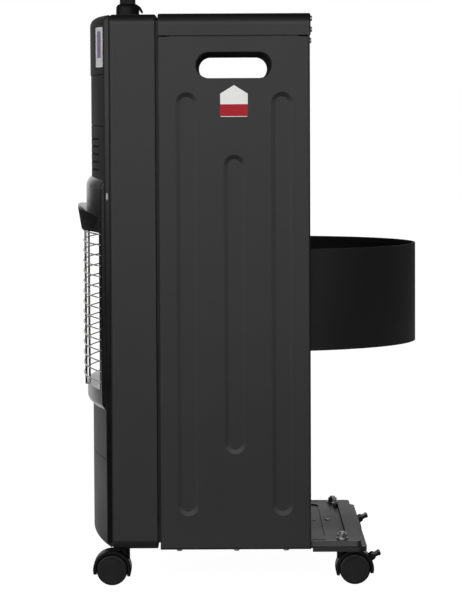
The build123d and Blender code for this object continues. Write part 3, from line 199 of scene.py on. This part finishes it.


# Cordierite ceramic, extruded and fired: warm off-white, dusty, pierced by small burner ports, each
# drawn dark brown as painted shade inside the hole.
# The real ports are 1.2 mm apart and are drawn 2.4 mm apart, so that they show as dots. portInner
# and portOuter are radii as shares of that pitch.
ceramicLook = {"clay": "#cdbfa6", "scorch": "#a88f6e", "port": "#4a3a2a", "scorchMm": 35, "pitchMm": 2.4,
               "portInner": 0.26, "portOuter": 0.34, "portDepthMm": 0.4, "bumpShare": 0.8, "rough": 0.85,
               "ior": 1.45}


def piercedCeramic(name, look):
    material, tree, where = newMaterial(name)
    scaled = addNode(tree, "ShaderNodeVectorMath", {"operation": "SCALE"},
                     {0: where, "Scale": perMm(look["pitchMm"])}).outputs[0]
    cell = addNode(tree, "ShaderNodeVectorMath", {"operation": "FRACTION"}, {0: scaled}).outputs[0]
    axes = addNode(tree, "ShaderNodeSeparateXYZ", feeds={0: cell}).outputs
    flat = addNode(tree, "ShaderNodeCombineXYZ", feeds={"X": axes["X"], "Y": axes["Z"]}).outputs[0]
    middle = (0.5, 0.5, 0)
    reach = addNode(tree, "ShaderNodeVectorMath", {"operation": "DISTANCE"},
                    {0: flat, 1: middle}).outputs["Value"]
    port = addNode(tree, "ShaderNodeMapRange", feeds={"Value": reach, "From Min": look["portInner"],
                                                      "From Max": look["portOuter"]}).outputs[0]
    burn = addNode(tree, "ShaderNodeTexNoise", feeds={"Vector": where, "Scale": perMm(look["scorchMm"]),
                                                      "Detail": 4.0}).outputs["Fac"]
    clay = addNode(tree, "ShaderNodeMixRGB", feeds={"Fac": burn, "Color1": linear(look["clay"]),
                                                    "Color2": linear(look["scorch"])}).outputs[0]
    # painted shade: each port is dark brown, the shade inside the hole
    colour = addNode(tree, "ShaderNodeMixRGB", feeds={"Fac": port, "Color1": linear(look["port"]),
                                                      "Color2": clay}).outputs[0]
    relief = addNode(tree, "ShaderNodeBump", feeds={"Height": port, "Distance": mm(look["portDepthMm"]),
                                                    "Strength": look["bumpShare"]}).outputs[0]
    shader = addNode(tree, "ShaderNodeBsdfPrincipled",
                     feeds={"Base Color": colour, "Roughness": look["rough"], "Normal": relief,
                            "IOR": look["ior"]})
    addNode(tree, "ShaderNodeOutputMaterial", feeds={"Surface": shader.outputs[0]})
    return material


finishes = {
    "bodyCoat": powderCoatedSteel("powderCoatedSteelBody", bodyCoat),
    "frontCoat": powderCoatedSteel("powderCoatedSteelFront", frontCoat),
    "bandCoat": powderCoatedSteel("powderCoatedSteelBand", bandCoat),
    "enamel": firedBlackEnamel("firedBlackEnamel", enamelLook),
    "knob": mouldedPlastic("mouldedPlasticKnob", knobPlastic),
    "hood": mouldedPlastic("mouldedPlasticHood", hoodPlastic),
    "wheel": mouldedPlastic("mouldedNylonWheel", wheelNylon),
    # painted shade for the louvres
    "louvreShade": mouldedPlastic("paintedLouvreShade", louvreShadePaint),
    "buffer": mouldedPlastic("mouldedRubberBufferPaintedGlint", bufferPaintedGlint),
    "chrome": bareMetal("chromedSteelWire", chromeWire),
    "zinc": bareMetal("zincPlatedSteel", zincPlate),
    "stainless": bareMetal("rolledStainlessSheet", stainlessSheet),
    "brass": bareMetal("turnedBrass", turnedBrass),
    "copper": bareMetal("drawnCopperTube", drawnCopper),
    "casting": bareMetal("dieCastAluminium", castAluminium),
    "tube": bareMetal("drawnAluminiumTube", drawnAluminium),
    "ceramic": piercedCeramic("piercedCordierite", ceramicLook),
}
print("materials made:", len(finishes))

# Which finish each CAD node has. A name ending in * stands for all nodes that start with it.
nodeFinishes = {
    "side_panel_*": "bodyCoat", "top_cover": "bodyCoat", "rear_tie_bar": "bodyCoat",
    "unit_back_plate": "bodyCoat", "front_casing": "bodyCoat", "base_plate": "bodyCoat",
    "castor_rail": "bodyCoat", "control_fascia": "frontCoat", "upper_front_panel": "frontCoat",
    "main_front_panel": "frontCoat", "kick_panel": "frontCoat", "cylinder_band": "bandCoat",
    "corner_strips": "enamel", "bezel_*": "enamel", "guard_*": "chrome",
    "reflector_tray": "stainless", "heat_shield": "stainless", "burner_box_*": "stainless",
    "pilot_burner": "stainless", "burner_plaque_*": "ceramic", "spark_electrode": "ceramic",
    "gas_manifold": "tube", "gas_pipes": "tube", "gas_jets": "brass", "gas_inlet": "brass",
    "valve_plug": "brass", "valve_spindle": "brass", "gas_valve": "casting", "thermocouple": "copper",
    "manifold_brackets": "zinc", "band_keepers": "zinc", "castor_stems": "zinc", "fasteners": "zinc",
    "castor_axle_*": "zinc", "knob_bezel": "knob", "control_knob": "knob", "castor_hood_*": "hood",
    "brake_lever_*": "hood", "castor_wheel_*": "wheel",
}

# Faces that meet at more than this angle keep a sharp edge between them.
nodeCrease = radians(28)
pieceCrease = radians(35)


def finishFor(nodeName):
    for pattern, finish in nodeFinishes.items():
        if nodeName == pattern or (pattern.endswith("*") and nodeName.startswith(pattern[:-1])):
            return finishes[finish]


for nodeName, node in nodes.items():
    node.data.materials.clear()
    node.data.materials.append(finishFor(nodeName))
    node.data.polygons.foreach_set("use_smooth", [True] * len(node.data.polygons))
    node.data.set_sharp_from_angle(angle=nodeCrease)
print("CAD nodes finished:", len(nodes))


def meshPiece(name, points, faces, finish, body, smooth=True):
    # a new piece from its points in metres, riding on one CAD body
    data = bpy.data.meshes.new(name)
    data.from_pydata([tuple(point) for point in points], [], faces)
    mesh = bmesh.new()
    mesh.from_mesh(data)
    bmesh.ops.recalc_face_normals(mesh, faces=mesh.faces)
    mesh.to_mesh(data)
    mesh.free()
    data.polygons.foreach_set("use_smooth", [smooth] * len(data.polygons))
    data.set_sharp_from_angle(angle=pieceCrease)
    piece = bpy.data.objects.new(name, data)
    bpy.context.scene.collection.objects.link(piece)
    data.materials.append(finish)
    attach(piece, body)
    return piece


# Radius of the bow of the front panels.
bowRadius = mm(804.8)


def bowedStrip(front, xEnds, zEnds, depths, steps, start=0):
    # The points and faces of a thin closed strip that follows the bow, between two depths in from its
    # surface, where a depth below 0 lies outside. The faces count the points from start.
    points = []
    for depth in depths:
        for z in zEnds:
            for step in range(steps + 1):
                x = xEnds[0] + (xEnds[1] - xEnds[0]) * step / steps
                points.append((x, front + bowRadius - sqrt((bowRadius - depth) ** 2 - x ** 2), z))
    nearLow, nearHigh, farLow, farHigh = (start + row * (steps + 1) for row in range(4))
    faces = []
    for a in range(steps):
        b = a + 1
        faces += [(nearLow + a, nearLow + b, nearHigh + b, nearHigh + a),
                  (farLow + b, farLow + a, farHigh + a, farHigh + b),
                  (nearLow + a, farLow + a, farLow + b, nearLow + b),
                  (nearHigh + b, farHigh + b, farHigh + a, nearHigh + a)]
    faces += [(nearLow, nearHigh, farHigh, farLow),
              (nearLow + steps, farLow + steps, farHigh + steps, nearHigh + steps)]
    return points, faces


# Vinyl stickers, screen-printed: semi-gloss, a pale ground with one plain block of colour, and no
# words, signs or pictures. Each starts a hair off its panel, so that the two don't share a face.
vinylLook = {"fadeMm": 12, "rough": (0.3, 0.45), "ior": 1.46, "specular": 0.2, "lift": mm(0.02),
             "thick": mm(0.18)}


def printedVinyl(name, look, ground, block, limits):
    # limits has the low and high end of the block of colour along each of two axes
    material, tree, where = newMaterial(name)
    axes = addNode(tree, "ShaderNodeSeparateXYZ", feeds={0: where}).outputs
    inside = 1.0
    for axis, (low, high) in limits.items():
        for operation, limit in (("GREATER_THAN", low), ("LESS_THAN", high)):
            test = addNode(tree, "ShaderNodeMath", {"operation": operation}, {0: axes[axis], 1: limit})
            inside = addNode(tree, "ShaderNodeMath", {"operation": "MULTIPLY"},
                             {0: inside, 1: test.outputs[0]}).outputs[0]
    colour = addNode(tree, "ShaderNodeMixRGB", feeds={"Fac": inside, "Color1": linear(ground),
                                                      "Color2": linear(block)}).outputs[0]
    fade = addNode(tree, "ShaderNodeTexNoise", feeds={"Vector": where, "Scale": perMm(look["fadeMm"]),
                                                      "Detail": 3.0}).outputs["Fac"]
    glossy, dull = look["rough"]
    rough = addNode(tree, "ShaderNodeMapRange", feeds={"Value": fade, **noiseSpan, "To Min": glossy,
                                                       "To Max": dull}).outputs[0]
    shader = addNode(tree, "ShaderNodeBsdfPrincipled",
                     feeds={"Base Color": colour, "Roughness": rough, "IOR": look["ior"],
                            "Specular IOR Level": look["specular"]})
    addNode(tree, "ShaderNodeOutputMaterial", feeds={"Surface": shader.outputs[0]})
    return material


# The one on the right-hand side panel: upright, with a gabled top and rounded lower corners.
sideSticker = {"midY": mm(-17.2), "midZ": mm(626.2), "width": mm(35.2), "height": mm(40.4),
               "gable": mm(10.9), "corner": mm(1.5), "cornerSteps": 4, "ground": "#f5f5f3",
               "block": "#b01525", "blockTop": mm(622), "margin": mm(0.7)}


def makeSideSticker(look):
    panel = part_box("side_panel_right")[1].x
    midY, midZ = look["midY"], look["midZ"]
    halfWidth, halfHeight = look["width"] / 2, look["height"] / 2
    corner, steps = look["corner"], look["cornerSteps"]
    shoulder = halfHeight - look["gable"]
    outline = [(-halfWidth, shoulder), (0, halfHeight), (halfWidth, shoulder)]
    for centre, start in ((halfWidth - corner, 0), (corner - halfWidth, -90)):
        for step in range(steps + 1):
            angle = radians(start - 90 * step / steps)
            outline.append((centre + corner * cos(angle), corner - halfHeight + corner * sin(angle)))
    count = len(outline)
    points = [(panel + lift, midY + y, midZ + z)
              for lift in (vinylLook["lift"], vinylLook["thick"]) for y, z in outline]
    faces = [tuple(range(count)), tuple(range(2 * count - 1, count - 1, -1))]
    faces += [(i, (i + 1) % count, count + (i + 1) % count, count + i) for i in range(count)]
    limits = {"Y": (midY - halfWidth, midY + halfWidth),
              "Z": (midZ - halfHeight + look["margin"], look["blockTop"])}
    finish = printedVinyl("printedVinylSide", vinylLook, look["ground"], look["block"], limits)
    return meshPiece("sideSticker", points, faces, finish, "cabinet", smooth=False)


# The one on the control fascia, right of the knob: it follows the bow.
frontSticker = {"x": (mm(144), mm(193.5)), "z": (mm(670.3), mm(721.6)), "steps": 14, "ground": "#f1eef3",
                "block": "#8f86a3", "blockX": (mm(157), mm(182.5)), "blockZ": (mm(682.3), mm(716.6))}


def makeFrontSticker(look):
    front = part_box("control_fascia")[0].y
    depths = (-vinylLook["lift"], -vinylLook["thick"])
    points, faces = bowedStrip(front, look["x"], look["z"], depths, look["steps"])
    limits = {"X": look["blockX"], "Z": look["blockZ"]}
    finish = printedVinyl("printedVinylFront", vinylLook, look["ground"], look["block"], limits)
    return meshPiece("frontSticker", points, faces, finish, "cabinet")


makeSideSticker(sideSticker)
makeFrontSticker(frontSticker)
print("stickers placed")

# Thin near-black strips with a fine pebble, one inside each louvre: painted shade that stands in for the
# shade in the louvre and reads as a soft dark line.
louvreShade = {"low": mm(536.2), "pitch": mm(10), "height": mm(3), "count": 5, "half": mm(160),
         "setBack": mm(0.35), "thick": mm(0.2), "steps": 32}


def makeLouvreShade(look):
    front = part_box("main_front_panel")[0].y
    xEnds = (-look["half"], look["half"])
    depths = (look["setBack"], look["setBack"] + look["thick"])
    points, faces = [], []
    for strip in range(look["count"]):
        low = look["low"] + strip * look["pitch"]
        stripPoints, stripFaces = bowedStrip(front, xEnds, (low, low + look["height"]), depths,
                                             look["steps"], start=len(points))
        points += stripPoints
        faces += stripFaces
    return meshPiece("louvreShadeStrips", points, faces, finishes["louvreShade"], "cabinet")


makeLouvreShade(louvreShade)
print("gauze placed")

# Domed rubber buffer, a small oval, pressed into the side of each corner strip beside the bezel. Its pale
# grey is a painted highlight that stands in for the glint on it.
buffer = {"z": mm(504.6), "halfWidth": mm(1.5), "halfHeight": mm(4.6), "dome": mm(0.5), "rings": 4,
          "steps": 24}


def makeBuffer(name, look, side):
    # rings of points from the crown of the dome to its closed foot; side is 1 on the right, -1 on the left
    low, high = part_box("corner_strips")
    face = side * high.x
    midY = (low.y + high.y) / 2
    rings, steps = look["rings"], look["steps"]
    points = [(face + side * look["dome"], midY, look["z"])]
    for ring in range(1, rings + 1):
        tilt = radians(90 * ring / rings)
        for step in range(steps):
            turn = radians(360 * step / steps)
            points.append((face + side * look["dome"] * cos(tilt),
                           midY + look["halfWidth"] * sin(tilt) * cos(turn),
                           look["z"] + look["halfHeight"] * sin(tilt) * sin(turn)))
    faces = [(0, 1 + i, 1 + (i + 1) % steps) for i in range(steps)]
    for ring in range(rings - 1):
        inner = 1 + ring * steps
        outer = inner + steps
        for i in range(steps):
            after = (i + 1) % steps
            faces.append((inner + i, outer + i, outer + after, inner + after))
    foot = 1 + (rings - 1) * steps
    faces.append(tuple(range(foot, foot + steps)))
    return meshPiece(name, points, faces, finishes["buffer"], "cabinet")


makeBuffer("buffer_right", buffer, 1)
makeBuffer("buffer_left", buffer, -1)
print("buffers placed")

# White studio. What lights the object and shows in its coats is a broad soft box on the camera's
# side, low enough to leave the ceiling dark, and behind the object the lit paper that it stands on,
# which curves up into the backdrop. The camera itself sees a plain white backdrop. Edges are cosines
# of the angle to the aim, where a light begins and where it is full. ceilingLow and ceilingHigh are
# the heights, on a sphere of radius 1, between which the light falls to its share named ceiling, and
# diffuseShare strengthens it for the diffuse rays alone.
studio = {"boxAim": (0.90, -0.40, 0.16), "boxEdges": (0.30, 0.86), "box": 1.80,
          "paperAim": (-1.0, 0.0, 0.0), "paperEdges": (0.935, 0.9945), "paper": 0.72,
          "walls": 0.14, "ceilingLow": 0.22, "ceilingHigh": 0.72, "ceiling": 0.08,
          "diffuseShare": 1.8, "backdrop": 1.0}


def newWorld(name, look):
    world = bpy.data.worlds.new(name)
    world.use_nodes = True
    tree = world.node_tree
    tree.nodes.clear()
    way = addNode(tree, "ShaderNodeTexCoord").outputs["Generated"]
    lit = look["walls"]
    for source in ("box", "paper"):
        toward = addNode(tree, "ShaderNodeVectorMath", {"operation": "DOT_PRODUCT"},
                         {0: way, 1: look[source + "Aim"]}).outputs["Value"]
        begins, full = look[source + "Edges"]
        patch = addNode(tree, "ShaderNodeMapRange", {"interpolation_type": "SMOOTHSTEP"},
                        {"Value": toward, "From Min": begins, "From Max": full,
                         "To Max": look[source]}).outputs[0]
        lit = addNode(tree, "ShaderNodeMath", {"operation": "ADD"}, {0: patch, 1: lit}).outputs[0]
    height = addNode(tree, "ShaderNodeSeparateXYZ", feeds={0: way}).outputs["Z"]
    ceiling = addNode(tree, "ShaderNodeMapRange", {"interpolation_type": "SMOOTHSTEP"},
                      {"Value": height, "From Min": look["ceilingLow"], "From Max": look["ceilingHigh"],
                       "To Min": 1.0, "To Max": look["ceiling"]}).outputs[0]
    path = addNode(tree, "ShaderNodeLightPath").outputs
    share = addNode(tree, "ShaderNodeMapRange", feeds={"Value": path["Is Diffuse Ray"], "To Min": 1.0,
                                                       "To Max": look["diffuseShare"]}).outputs[0]
    strength = lit
    for factor in (ceiling, share):
        strength = addNode(tree, "ShaderNodeMath", {"operation": "MULTIPLY"},
                           {0: strength, 1: factor}).outputs[0]
    light = addNode(tree, "ShaderNodeBackground", feeds={"Color": linear("#ffffff"), "Strength": strength})
    backdrop = addNode(tree, "ShaderNodeBackground", feeds={"Color": linear("#ffffff"),
                                                            "Strength": look["backdrop"]})
    mixed = addNode(tree, "ShaderNodeMixShader", feeds={0: path["Is Camera Ray"], 1: light.outputs[0],
                                                        2: backdrop.outputs[0]})
    addNode(tree, "ShaderNodeOutputWorld", feeds={"Surface": mixed.outputs[0]})
    bpy.context.scene.world = world


# White paper floor. To the camera it is all but white and still shows a shadow. What the object
# mirrors is grey paper that glows behind the object: the glow rises from nearX to behindX, holds to
# farX and is gone at endX, in a strip that fades from stripHalf to stripEnd on both sides of the middle.
paperFloor = {"size": 30.0, "grey": "#7d7d7d", "white": "#f4f4f4", "nearX": 0.5, "behindX": -0.7,
              "farX": -3.0, "endX": -6.0, "stripHalf": 0.6, "stripEnd": 2.0, "glow": 1.35,
              "glowShare": 0.5, "whiteGlow": 1.22, "whiteShare": 0.80}


def newFloor(name, look):
    material, tree, where = newMaterial("whitePaperSweep")
    seen = addNode(tree, "ShaderNodeLightPath").outputs["Is Camera Ray"]
    axes = addNode(tree, "ShaderNodeSeparateXYZ", feeds={0: where}).outputs
    aside = addNode(tree, "ShaderNodeMath", {"operation": "ABSOLUTE"}, {0: axes["Y"]}).outputs[0]
    shine = look["glow"]
    for place, dark, lit in ((axes["X"], "nearX", "behindX"), (aside, "stripEnd", "stripHalf"),
                             (axes["X"], "endX", "farX")):
        ramp = addNode(tree, "ShaderNodeMapRange", {"interpolation_type": "SMOOTHSTEP"},
                       {"Value": place, "From Min": look[dark], "From Max": look[lit]}).outputs[0]
        shine = addNode(tree, "ShaderNodeMath", {"operation": "MULTIPLY"}, {0: ramp, 1: shine}).outputs[0]
    tone = addNode(tree, "ShaderNodeMixRGB", feeds={"Fac": seen, "Color1": linear(look["grey"]),
                                                    "Color2": linear(look["white"])}).outputs[0]
    paper = addNode(tree, "ShaderNodeBsdfDiffuse", feeds={"Color": tone})
    bright = addNode(tree, "ShaderNodeMixRGB",
                     feeds={"Fac": seen, "Color1": shine,
                            "Color2": (look["whiteGlow"],) * 3 + (1.0,)}).outputs[0]
    glow = addNode(tree, "ShaderNodeEmission", feeds={"Color": bright, "Strength": 1.0})
    share = addNode(tree, "ShaderNodeMapRange", feeds={"Value": seen, "To Min": look["glowShare"],
                                                       "To Max": look["whiteShare"]}).outputs[0]
    mixed = addNode(tree, "ShaderNodeMixShader", feeds={0: share, 1: paper.outputs[0], 2: glow.outputs[0]})
    addNode(tree, "ShaderNodeOutputMaterial", feeds={"Surface": mixed.outputs[0]})
    bpy.ops.mesh.primitive_plane_add(size=look["size"], location=(0, 0, 0))
    floor = bpy.context.object
    floor.name = name
    floor.data.materials.append(material)


newWorld("studioWorld", studio)
newFloor("studioFloor", paperFloor)
print("studio lit")

# Camera four metres off the right-hand side, with a long lens, looking down a little. Turn, tilt and
# roll are in radians.
cameraLook = {"at": (3.9863, -0.0282, 0.62144), "turn": -0.0016, "tilt": 0.0661, "roll": -0.0046,
              "lens": 177.06, "sensor": 36.0, "clipEnd": 60.0}


def newCamera(name, look):
    data = bpy.data.cameras.new(name)
    data.lens = look["lens"]
    data.sensor_width = look["sensor"]
    data.clip_end = look["clipEnd"]
    camera = bpy.data.objects.new(name, data)
    bpy.context.scene.collection.objects.link(camera)
    level = Matrix.Rotation(look["turn"], 3, "Z")
    across, ahead, up = level @ Vector((0, 1, 0)), level @ Vector((-1, 0, 0)), Vector((0, 0, 1))
    forward = ahead * cos(look["tilt"]) - up * sin(look["tilt"])
    upward = up * cos(look["tilt"]) + ahead * sin(look["tilt"])
    right = across * cos(look["roll"]) + upward * sin(look["roll"])
    top = upward * cos(look["roll"]) - across * sin(look["roll"])
    turned = Matrix((right, top, -forward)).transposed().to_4x4()
    camera.matrix_world = Matrix.Translation(look["at"]) @ turned
    bpy.context.scene.camera = camera


newCamera("studioCamera", cameraLook)
bpy.context.scene.view_settings.view_transform = "Standard"
print("camera set")
